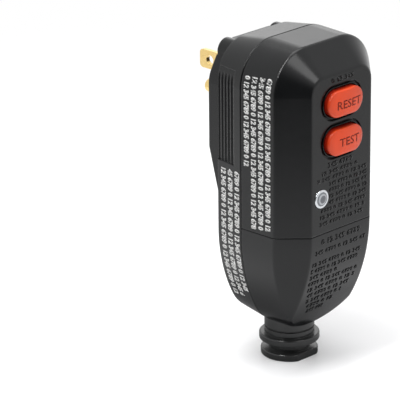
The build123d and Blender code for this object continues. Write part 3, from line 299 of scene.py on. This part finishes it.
# %% [markdown]
# ### Circuit board
#
# The board is glass cloth pressed in green resin, and the weave shows through. A woven picture
# could be wrapped on it, but a brick pattern with thin dark joints says the same and needs no
# picture. It is drawn about twice as coarse as real cloth, so that it shows at all.

# %% Board
WEAVE_MM = 1.2
board = moulded("green glass-epoxy board", "#1f6b3a", "#195a30", rough=0.35, grain_mm=0.5)
board_tree = board.node_tree
board_spot = add(board_tree, "ShaderNodeTexCoord").outputs["Object"]
weave = add(board_tree, "ShaderNodeTexBrick", {"Vector": board_spot, "Scale": per_metre(WEAVE_MM),
                                               "Color1": linear("#1f6b3a"),
                                               "Color2": linear("#237543"),
                                               "Mortar": linear("#185430"), "Mortar Size": 0.08})
board_tree.links.new(weave.outputs["Color"],
                     board_tree.nodes["Principled BSDF"].inputs["Base Color"])
print("weave:", WEAVE_MM, "mm")

# %% [markdown]
# ### Indicator lens and light
#
# The lens is smoke-grey acrylic whose back is stepped, and what the eye sees from the front is
# a dark middle, a pale ring round it, and grey out to the rim. The steps could be cut in the
# solid, but they lie behind the face and only their shade shows. So the rings are a colour
# ramp over the distance from the lens's own centre. The light under it is clear cast epoxy,
# which lets most of the light through.

# %% Clear plastics
LENS_RADIUS = 2.4 * MM  # of the face that shows
LENS_RINGS = ((0.0, "#66696e"), (0.5, "#707379"), (0.6, "#b9bdc2"), (0.72, "#b9bdc2"),
              (0.8, "#7b7f85"), (1.0, "#8f9398"))
# Smoke-grey acrylic from a polished tool: glassy, and a little of the light passes.
lens_acrylic = moulded("smoke-grey acrylic lens, moulded", "#8f9398", "#888c91", rough=0.16,
                       depth_mm=0.004, Transmission_Weight=0.2, IOR=1.49)
low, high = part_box("indicator_lens")
lens_tree = lens_acrylic.node_tree
lens_spot = add(lens_tree, "ShaderNodeTexCoord").outputs["Object"]
from_centre = add(lens_tree, "ShaderNodeMapping", {"Vector": lens_spot,
                                                   "Location": -(low + high) / 2})
flat = add(lens_tree, "ShaderNodeVectorMath", {0: from_centre.outputs["Vector"], 1: (1, 0, 1)},
           operation="MULTIPLY")
radius = add(lens_tree, "ShaderNodeVectorMath", {0: flat.outputs["Vector"]}, operation="LENGTH")
share = add(lens_tree, "ShaderNodeMath", {0: radius.outputs["Value"], 1: LENS_RADIUS},
            operation="DIVIDE")
rings = add(lens_tree, "ShaderNodeValToRGB", {"Fac": share.outputs["Value"]})
while len(rings.color_ramp.elements) < len(LENS_RINGS):
    rings.color_ramp.elements.new(0.5)
for element, (position, colour) in zip(rings.color_ramp.elements, LENS_RINGS):
    element.position, element.color = position, linear(colour)
lens_tree.links.new(rings.outputs["Color"],
                    lens_tree.nodes["Principled BSDF"].inputs["Base Color"])
# Clear epoxy of the indicator light: water-clear with a domed top.
clear_epoxy = moulded("clear epoxy, cast", "#eceeea", "#e2e5df", rough=0.12, depth_mm=0.002,
                      Transmission_Weight=0.7, IOR=1.5)
print("finishes for the solids:", len(bpy.data.materials) - packed_finishes)

# %% [markdown]
# ## Giving the finishes to the solids
#
# Each solid already carries the name of the finish it was packed with. A table from that
# record name to the material dresses all of them in one loop, and a missing name would stop
# the script here and not show up later as a grey piece.

# %% Dress every solid
FINISHES = {
    "case_black": case_abs, "button_orange": button_abs, "brass": strip_brass,
    "steel": zinc_steel, "spring_steel": spring_wire, "nylon_natural": natural_nylon,
    "nylon_black": filled_nylon, "contact_copper": contact_copper,
    "enamelled_copper": winding, "core_case": core_case, "board_green": board,
    "clear_plastic": clear_epoxy, "lens_grey": lens_acrylic, "ring_silver": silver_ring,
    "varistor_blue": blue_epoxy, "capacitor_yellow": yellow_case, "package_black": package_epoxy,
    "resistor_tan": tan_coat, "wire_black": black_wire, "wire_white": white_wire,
    "rubber_black": rubber,
}
SLOTS = {part["node"]: part["material_slot"] for part in frame["record"]["subparts"]}
for node, finish in SLOTS.items():
    for own_slot in frame["nodes"][node].material_slots:
        own_slot.link = "OBJECT"
        own_slot.material = FINISHES[finish]
print("dressed", len(SLOTS), "solids in", len(FINISHES), "finishes")

# %% [markdown]
# ## Twins of the springs
#
# A solid can't shorten, so at the end of a button's travel a packed spring would cut through
# its neighbours. A spring could be drawn again as a curve and rigged. Here each gets a twin with
# the same shape that takes the solid's place, so it can't differ from the solid at rest. A twin
# is merged first, since a imported mesh is made of loose triangles.
#
# The springs behind the reset button and above the plunger are pressed from one end. Their
# twins ride on the case.

# %% Helpers for new pieces
def deselect():
    """Operators act on all that is selected, so each step starts with nothing chosen."""
    for chosen in bpy.context.selected_objects:
        chosen.select_set(False)


def paint(piece, material):
    """Gives a new piece its one material."""
    piece.data.materials.clear()
    piece.data.materials.append(material)


print("selected by the load:", len(bpy.context.selected_objects))

# %% Twins of the pressed springs
SAME_POINT = 0.002 * MM  # corners of the loose triangles that are nearer than this are one
SHARP_TURN = math.radians(40)


def twin(node, name):
    """A merged copy of a solid's mesh, as a piece that stands for it."""
    deselect()
    piece = bpy.data.objects.new(name, frame["nodes"][node].data.copy())
    piece.data.name = name
    bpy.context.scene.collection.objects.link(piece)
    piece.select_set(True)
    bpy.context.view_layer.objects.active = piece
    bpy.ops.mesh.customdata_custom_splitnormals_clear()
    bpy.ops.object.mode_set(mode="EDIT")
    bpy.ops.mesh.select_all(action="SELECT")
    bpy.ops.mesh.remove_doubles(threshold=SAME_POINT)
    bpy.ops.object.mode_set(mode="OBJECT")
    bpy.ops.object.shade_smooth_by_angle(angle=SHARP_TURN)
    paint(piece, FINISHES[SLOTS[node]])
    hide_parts(node)
    return piece


def pressed_coil(node, name):
    """A twin of a coil, which rides on the case."""
    piece = twin(node, name)
    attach(piece, "root")
    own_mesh(piece)


pressed_coil("reset_spring", "reset_coil")
pressed_coil("plunger_spring", "plunger_coil")

# %% [markdown]
# ### Break springs
#
# These two open the main contacts. One end stays in the mechanism frame and the other follows
# the contact carrier as it moves back, so they get longer and not shorter. Their twin takes
# their place.

# %% Twin of the break springs
coils = twin("break_springs", "break_coils")
low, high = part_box("break_springs")
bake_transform(coils)
print("break coils:", round((high.y - low.y) / MM, 2), "mm long at rest")

# %% [markdown]
# ### Test leaf
#
# The test leaf is a strip of springy bronze. Its foot is fixed to the board and its tip follows
# the test button, so the strip bends between the two. A flat strip has no points along its
# length that could move, so the twin is cut across into short parts.

# %% Twin of the test leaf
LEAF_STAYS, LEAF_FOLLOWS = 8.6 * MM, 1.6 * MM  # across the case: end of the foot, and the tip
LEAF_PARTS = 15
leaf = twin("test_leaf", "test_leaf_strip")
low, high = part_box("test_leaf")
bpy.ops.object.mode_set(mode="EDIT")
for step in range(1, LEAF_PARTS):
    across = LEAF_FOLLOWS + (LEAF_STAYS - LEAF_FOLLOWS) * step / LEAF_PARTS
    bpy.ops.mesh.select_all(action="SELECT")
    bpy.ops.mesh.bisect(plane_co=(across, 0, 0), plane_no=(1, 0, 0))
bpy.ops.object.mode_set(mode="OBJECT")
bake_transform(leaf)
print("test leaf faces:", len(leaf.data.polygons))

# %% [markdown]
# ## Lettering that follows a surface
#
# The button words and the marks on the case are films of ink or low raised marks. A texture
# would blur, so each is a real mesh: text is set flat, made a mesh, turned to face outwards,
# then pressed against the solid with a Shrinkwrap modifier and given its thickness with
# Solidify. Both are applied, so the finished piece is plain geometry at the origin.

# %% Lettering helpers
SAME_CORNER = 0.01 * MM  # corners of a letter's outline that are nearer than this are one


def flat_text(name, words, cap, width, bold=0.012, cuts=0):
    """Text of cap height cap, narrowed to width, in metres, as a mesh in its own plane.

    bold swells the strokes. cuts splits the edges, so that the strokes can follow a crown."""
    deselect()
    bpy.ops.object.text_add(location=(0, 0, 0))
    piece = bpy.context.object
    piece.name = piece.data.name = name
    piece.data.body = words
    piece.data.align_x = "CENTER"
    piece.data.align_y = "CENTER"
    piece.data.offset = bold
    piece.data.resolution_u = 2
    bpy.ops.object.convert(target="MESH")
    piece = bpy.context.object
    piece.scale = (width / piece.dimensions.x, cap / piece.dimensions.y, 1)
    bpy.ops.object.transform_apply(location=False, rotation=False, scale=True)
    bpy.ops.object.mode_set(mode="EDIT")
    bpy.ops.mesh.select_all(action="SELECT")
    bpy.ops.mesh.remove_doubles(threshold=SAME_CORNER)
    bpy.ops.mesh.dissolve_degenerate(threshold=SAME_CORNER)
    if cuts:
        bpy.ops.mesh.subdivide(number_cuts=cuts)
    bpy.ops.object.mode_set(mode="OBJECT")
    return piece


def place(piece, centre, turn):
    """Turns a flat piece about x, y, z in degrees, moves it, and writes that into its mesh."""
    piece.rotation_euler = [math.radians(t) for t in turn]
    piece.location = centre
    bpy.ops.object.transform_apply(location=True, rotation=True, scale=False)


def press_on(piece, node, axis, proud, film):
    """Presses a piece along an axis on a solid, proud above it, and thickens it by film."""
    wrap = piece.modifiers.new("press", "SHRINKWRAP")
    wrap.target = frame["nodes"][node]
    wrap.wrap_method = "PROJECT"
    wrap.use_project_x, wrap.use_project_y, wrap.use_project_z = (a == axis for a in "XYZ")
    wrap.use_negative_direction = wrap.use_positive_direction = True
    wrap.offset = proud
    thick = piece.modifiers.new("film", "SOLIDIFY")
    thick.thickness = film
    thick.offset = 1
    bpy.context.view_layer.objects.active = piece
    for modifier in ("press", "film"):
        bpy.ops.object.modifier_apply(modifier=modifier)


FACING_FRONT = (90, 0, 0)
FACING_REAR = (90, 0, 180)
FACING_LEFT_DOWN = (180, 90, 0)
print("text faces up as it is set, so to face the front it turns", FACING_FRONT[0], "degrees")

# %% [markdown]
# ### Button words
#
# The words RESET and TEST say what the buttons do. On the real ones they are sunk letters in
# the button's own orange, which sit a touch right of the middle and show dark red by their
# shade. Here they are a thin dark red film that follows the crowned top and rides with its
# button, and its dark red is painted shade. The film starts a little inside the plastic, so
# that no gap shows under it.

# %% Button words
WORD_CAP = 2.8
SET_AHEAD = 1  # mm ahead of the crown, before the word is pressed on it
# Dark red film whose colour is painted shade of the sunk letters: matt, so the letters stay
# readable where the crown shines.
ink = moulded("dark red film, painted shade of sunk letters", "#8a2610", "#7c200d", rough=0.6, grain_mm=0.2,
              depth_mm=0.004, Specular_IOR_Level=0.15)
# Word, button, body, then in mm: its middle across and up, and its width.
WORDS = {"reset_word": ("RESET", "reset_button", "reset", 1.0, -4.3, 11.2),
         "test_word": ("TEST", "test_button", "test", 1.3, -17.0, 9.5)}
for name, (word, node, body, across, height, width) in WORDS.items():
    low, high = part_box(node)
    piece = flat_text(name, word, cap=WORD_CAP * MM, width=width * MM, cuts=3)
    place(piece, (across * MM, low[1] - SET_AHEAD * MM, height * MM), FACING_FRONT)
    press_on(piece, node, "Y", proud=-0.02 * MM, film=0.03 * MM)
    paint(piece, ink)
    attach(piece, body)
    print(name, "faces", len(piece.data.polygons))

# %% [markdown]
# ### Rows of marks
#
# The case carries printed and raised rows of plain digits, in groups of one to four. They could
# be pressed on one by one, but a shell takes a whole block as easily. So each row is set on its
# own, the rows are joined, and the block is pressed on its shell in one go.

# %% Helpers for blocks of rows
DIGITS = "0 12 345 6789 " * 5  # 70 characters, and no row goes past the 60th


def block_of_rows(name, rows, turn, bold):
    """Joins rows. Each is its start in DIGITS and count, then cap, width and centre in mm."""
    pieces = []
    for first, count, cap, width, centre in rows:
        words = DIGITS[first:first + count].strip()
        row = flat_text("row", words, cap * MM, width * MM, bold=bold)
        place(row, [c * MM for c in centre], turn)
        pieces.append(row)
    deselect()
    for row in pieces:
        row.select_set(True)
    bpy.context.view_layer.objects.active = pieces[0]
    bpy.ops.object.join()
    block = bpy.context.object
    block.name = block.data.name = name
    return block


def finish_block(block, node, axis, material, proud, film):
    """Presses a block on its shell, paints it, and lets it ride on the case. Sizes in mm."""
    press_on(block, node, axis, proud * MM, film * MM)
    paint(block, material)
    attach(block, "root")
    print(block.name, "faces", len(block.data.polygons))


print("groups of digits:", DIGITS.split()[:4])

# %% [markdown]
# ### Printed rows on the left side
#
# White ink is dabbed on both shells from a soft pad. Seven rows run down the side, so close
# that from afar they read as pale stripes on the black. The print is a film 0.02 mm thick,
# half of it in the plastic.

# %% Printed rows
OFF_LEFT = -30  # mm, clear of the case: the block is set here and pressed inwards
# White pad-printing ink: matt and fully covering, the brightest thing on the case.
white_ink = moulded("white pad-printing ink", "#fbfbfa", "#f4f4f2", rough=0.5, grain_mm=0.2,
                    depth_mm=0.004)
FRONT_ROWS = [(0, 32, 2.4, 30.5, (OFF_LEFT, -20.0, -9.9)),
              (2, 52, 2.4, 51.5, (OFF_LEFT, -23.1, -20.1)),
              (5, 52, 2.4, 51.5, (OFF_LEFT, -26.2, -19.9)),
              (8, 52, 2.4, 51.5, (OFF_LEFT, -29.3, -19.6))]
REAR_ROWS = [(1, 46, 2.7, 46, (OFF_LEFT, -8.4, -51.6)),
             (6, 46, 2.7, 46, (OFF_LEFT, -11.9, -51.4)),
             (9, 42, 2.7, 43, (OFF_LEFT, -15.4, -49.8))]
for name, rows, node in (("side_print_front", FRONT_ROWS, "front_cover"),
                         ("side_print_rear", REAR_ROWS, "rear_housing")):
    block = block_of_rows(name, rows, FACING_LEFT_DOWN, bold=0.05)
    finish_block(block, node, "X", white_ink, proud=-0.01, film=0.02)

# %% [markdown]
# ### Raised rows on the front and the pad
#
# Raised text is engraved in the steel tool, so it comes out in the same black plastic as the
# case and shows only by its shadows and edges. It could be a bump in the material, but bump
# has no edge to catch the light. So the rows are real marks 0.2 mm high.

# %% Raised rows
AHEAD, BEHIND = -50, 30  # mm, clear of the case in front of it and behind it
BUTTON_ROWS = [(0, 9, 1.6, 10.5, (0.5, AHEAD, 3.9)), (4, 10, 1.8, 11.5, (-0.5, AHEAD, -24.4)),
               (1, 15, 1.3, 17.0, (-0.8, AHEAD, -26.7)), (3, 20, 1.3, 23.5, (0.6, AHEAD, -28.8)),
               (5, 17, 1.3, 18.0, (3.4, AHEAD, -30.9)), (8, 17, 1.3, 18.0, (3.4, AHEAD, -33.0)),
               (2, 17, 1.3, 18.0, (3.4, AHEAD, -35.1)), (6, 17, 1.3, 18.0, (3.4, AHEAD, -37.2)),
               (9, 19, 1.3, 21.2, (1.2, AHEAD, -39.4)), (1, 19, 1.3, 21.0, (0.6, AHEAD, -41.6)),
               (4, 18, 1.3, 20.5, (0.2, AHEAD, -43.9))]
COVER_ROWS = [(0, 14, 2.0, 18.5, (0.2, AHEAD, -50.2)), (5, 20, 1.5, 24.0, (0.3, AHEAD, -53.6)),
              (2, 20, 1.4, 23.0, (-1.0, AHEAD, -57.6)), (7, 20, 1.4, 22.5, (-1.4, AHEAD, -60.0)),
              (4, 12, 1.4, 13.0, (-6.0, AHEAD, -62.4)), (9, 20, 1.4, 23.5, (-0.8, AHEAD, -64.8)),
              (1, 19, 1.4, 22.5, (-0.8, AHEAD, -67.2)), (6, 17, 1.4, 20.0, (-1.2, AHEAD, -69.6)),
              (3, 14, 1.4, 16.5, (-2.0, AHEAD, -72.0)), (8, 11, 1.4, 12.5, (-2.8, AHEAD, -74.4)),
              (5, 7, 1.4, 8.0, (-3.8, AHEAD, -76.8))]
PAD_ROWS = [(0, 22, 1.1, 18.0, (0, BEHIND, -26.6)), (4, 9, 2.4, 11.0, (-1, BEHIND, -29.6)),
            (1, 12, 2.0, 15.0, (1, BEHIND, -33.2)), (7, 14, 2.4, 19.0, (0, BEHIND, -37.0)),
            (3, 20, 1.4, 21.0, (0, BEHIND, -40.4))]
for name, rows, node, turn in (("front_marks", BUTTON_ROWS, "front_cover", FACING_FRONT),
                               ("cover_marks", COVER_ROWS, "terminal_cover", FACING_FRONT),
                               ("pad_marks", PAD_ROWS, "rear_housing", FACING_REAR)):
    block = block_of_rows(name, rows, turn, bold=0.015)
    finish_block(block, node, "Y", case_abs, proud=-0.02, film=0.22)

# %% [markdown]
# ## Floor, light and camera
#
# A black case shows mainly what it reflects, so the surroundings do most of the work.
#
# ### Floor
#
# The plug stands on its bushing on a plain white floor, which could be a bent sheet of card. It
# is a large disc here, and it turns clear far from the plug, so it meets the white
# surroundings without a line. In a studio the floor is lit up to white, but close to the foot
# it stays in the plug's own shade. That shade is partly real and partly painted: the camera
# sees the floor with a small glow that ends there, and in what the glossy case reflects the
# floor is painted a darker grey there, so the chin above the bushing stays black.

# %% Floor disc
FLOOR_RADIUS = 3
deselect()
bpy.ops.mesh.primitive_circle_add(vertices=96, radius=FLOOR_RADIUS, fill_type="NGON",
                                  location=(0, 0, cad_box[0].z))
floor = bpy.context.object
floor.name = "floor"
print("floor at", round(cad_box[0].z / MM, 1), "mm")

# %% Floor paint
CLEAR_FROM, CLEAR_TO = 0.12, 0.38  # metres from the foot, as the next two
# Where the painted shade round the foot is full, and where it ends, in metres
SHADE_FULL, SHADE_ENDS = 0.015, 0.06
GLOW = 0.12
floor_paint, floor_tree, floor_shader = blank("white studio floor, painted")
floor_shader.inputs["Roughness"].default_value = 0.45
floor_spot = add(floor_tree, "ShaderNodeTexCoord").outputs["Object"]
distance = add(floor_tree, "ShaderNodeVectorMath", {0: floor_spot}, operation="LENGTH")
seen = add(floor_tree, "ShaderNodeLightPath")
shade = add(floor_tree, "ShaderNodeMapRange", {"Value": distance.outputs["Value"],
                                               "From Min": SHADE_FULL, "From Max": SHADE_ENDS,
                                               "To Min": 1.0, "To Max": 0.0},
            interpolation_type="SMOOTHSTEP")
# Painted shade: in what glossy surfaces reflect, the floor round the foot turns a darker grey
painted_shade_in_mirror = add(floor_tree, "ShaderNodeMath", {0: seen.outputs["Is Glossy Ray"],
                                              1: shade.outputs["Result"]}, operation="MULTIPLY")
floor_tint = add(floor_tree, "ShaderNodeMix", {"Factor": painted_shade_in_mirror.outputs["Value"],
                                               "A": linear("#f4f4f5"), "B": linear("#7a7a7b")},
                 data_type="RGBA")
floor_tree.links.new(floor_tint.outputs["Result"], floor_shader.inputs["Base Color"])
# The camera's glow ends round the foot, which deepens the real shade there with painted shade
open_floor = add(floor_tree, "ShaderNodeMath", {0: seen.outputs["Is Camera Ray"],
                                                1: shade.outputs["Result"]},
                 operation="SUBTRACT", use_clamp=True)
lift = add(floor_tree, "ShaderNodeMath", {0: open_floor.outputs["Value"], 1: GLOW},
           operation="MULTIPLY")
glow = add(floor_tree, "ShaderNodeEmission", {"Strength": lift.outputs["Value"]})
lit = add(floor_tree, "ShaderNodeAddShader", {0: floor_shader.outputs["BSDF"],
                                              1: glow.outputs["Emission"]})
clear = add(floor_tree, "ShaderNodeBsdfTransparent")
fade = add(floor_tree, "ShaderNodeMapRange", {"Value": distance.outputs["Value"],
                                              "From Min": CLEAR_FROM, "From Max": CLEAR_TO},
           interpolation_type="SMOOTHSTEP")
faded = add(floor_tree, "ShaderNodeMixShader", {"Fac": fade.outputs["Result"],
                                                1: lit.outputs["Shader"],
                                                2: clear.outputs["BSDF"]})
floor_tree.links.new(faded.outputs["Shader"],
                     floor_tree.nodes["Material Output"].inputs["Surface"])
paint(floor, floor_paint)
print("shaded up to", SHADE_ENDS, "m from the foot, and clear from", CLEAR_TO, "m outwards")

# %% [markdown]
# ### Surroundings
#
# A white room lights the plug evenly from all sides, and it is white behind it too. The
# camera's end of the room is dark, as in a studio where only the backdrop is lit: the flat
# flank mirrors that end, so it stays black beside the paler bevels. The camera itself never
# sees the dark end, and rough surfaces get the even light of the whole room.

# %% Surroundings
WHITE = (1, 1, 1, 1)
ROOM_LIGHT = 0.6  # what rough surfaces get
BEHIND_CAMERA = (-0.70, -0.68, -0.20)
DARK_STARTS, DARK_FULL = 0.4, 0.85  # cosines of the angle to that direction
DARK_LEVEL = 0.05
world = bpy.data.worlds.new("pale studio")
bpy.context.scene.world = world
world.use_nodes = True
sky_tree = world.node_tree
sky_light = sky_tree.nodes["Background"]
sky_light.inputs["Color"].default_value = WHITE
sky_light.inputs["Strength"].default_value = ROOM_LIGHT
sky_path = add(sky_tree, "ShaderNodeLightPath").outputs
sky_way = add(sky_tree, "ShaderNodeTexCoord").outputs["Generated"]
towards = add(sky_tree, "ShaderNodeVectorMath", {0: sky_way, 1: BEHIND_CAMERA},
              operation="DOT_PRODUCT")
unlit = add(sky_tree, "ShaderNodeMapRange", {"Value": towards.outputs["Value"],
                                             "From Min": DARK_STARTS, "From Max": DARK_FULL,
                                             "To Min": 1.0, "To Max": DARK_LEVEL},
            interpolation_type="SMOOTHSTEP")
room = add(sky_tree, "ShaderNodeMath", {0: unlit.outputs["Result"],
                                        1: sky_path["Is Camera Ray"]}, operation="MAXIMUM")
sky_seen = add(sky_tree, "ShaderNodeBackground", {"Color": WHITE,
                                                  "Strength": room.outputs["Value"]})
sky_direct = add(sky_tree, "ShaderNodeMath", {0: sky_path["Is Camera Ray"],
                                              1: sky_path["Is Glossy Ray"]},
                 operation="MAXIMUM")
sky_clear = add(sky_tree, "ShaderNodeMath", {0: sky_direct.outputs["Value"],
                                             1: sky_path["Is Transmission Ray"]},
                operation="MAXIMUM")
sky = add(sky_tree, "ShaderNodeMixShader", {"Fac": sky_clear.outputs["Value"],
                                            1: sky_light.outputs["Background"],
                                            2: sky_seen.outputs["Background"]})
sky_tree.links.new(sky.outputs["Shader"], sky_tree.nodes["World Output"].inputs["Surface"])
print("room light:", ROOM_LIGHT, "and", DARK_LEVEL, "in the dark end's mirror image")

# %% [markdown]
# ### Softboxes
#
# Four soft lamps, none of them seen by the camera. The narrow one above on the left draws the
# bright line along the upper left rim and throws the soft shadow to the right. The front one
# lights the buttons, the large one overhead lifts all that faces up, and the one low behind is
# what the top of the case mirrors.

# %% Softboxes
LAMP_AIM = Vector((0, -0.02, -0.03))


def lamp(name, place_m, size_m, watts):
    """A soft lamp of a width and a height, at a place and aimed at the case."""
    light = bpy.data.lights.new(name, "AREA")
    light.shape, (light.size, light.size_y), light.energy = "RECTANGLE", size_m, watts
    thing = bpy.data.objects.new(name, light)
    bpy.context.scene.collection.objects.link(thing)
    thing.location = place_m
    aim = LAMP_AIM - Vector(place_m)
    thing.rotation_euler = aim.to_track_quat("-Z", "Y").to_euler()
    thing.visible_camera = False


lamp("strip softbox above", (-0.33, -0.04, 0.54), (0.03, 0.6), 3.6)
lamp("front softbox", (0.05, -0.45, 0.52), (0.3, 0.3), 1.0)
lamp("softbox overhead", (0.2, 0.12, 0.7), (0.5, 0.5), 1.9)
lamp("softbox behind", (0.69, 0.63, 0.30), (0.35, 0.35), 0.3)

# %% [markdown]
# ### Camera
#
# The camera stands in front and to the left of the plug, a little above it, about a metre away
# with a long lens, so the verticals stay nearly parallel. It could be set by eye, but its place
# and turn were fitted on corners and edges of the plug, so that the picture can be laid over
# the real view.

# %% Camera
camera = bpy.data.cameras.new("camera")
camera.lens = 279.95
camera.sensor_width = 36
camera.clip_start, camera.clip_end = 0.01, 20
viewer = bpy.data.objects.new("camera", camera)
bpy.context.scene.collection.objects.link(viewer)
viewer.location = (-0.70149, -0.67631, 0.31532)
viewer.rotation_euler = [math.radians(turn) for turn in (69.5484, 0.4861, -45.2229)]
bpy.context.scene.camera = viewer
bpy.context.scene.view_settings.view_transform = "Standard"
print("camera", round(viewer.location.length, 2), "m from the origin")
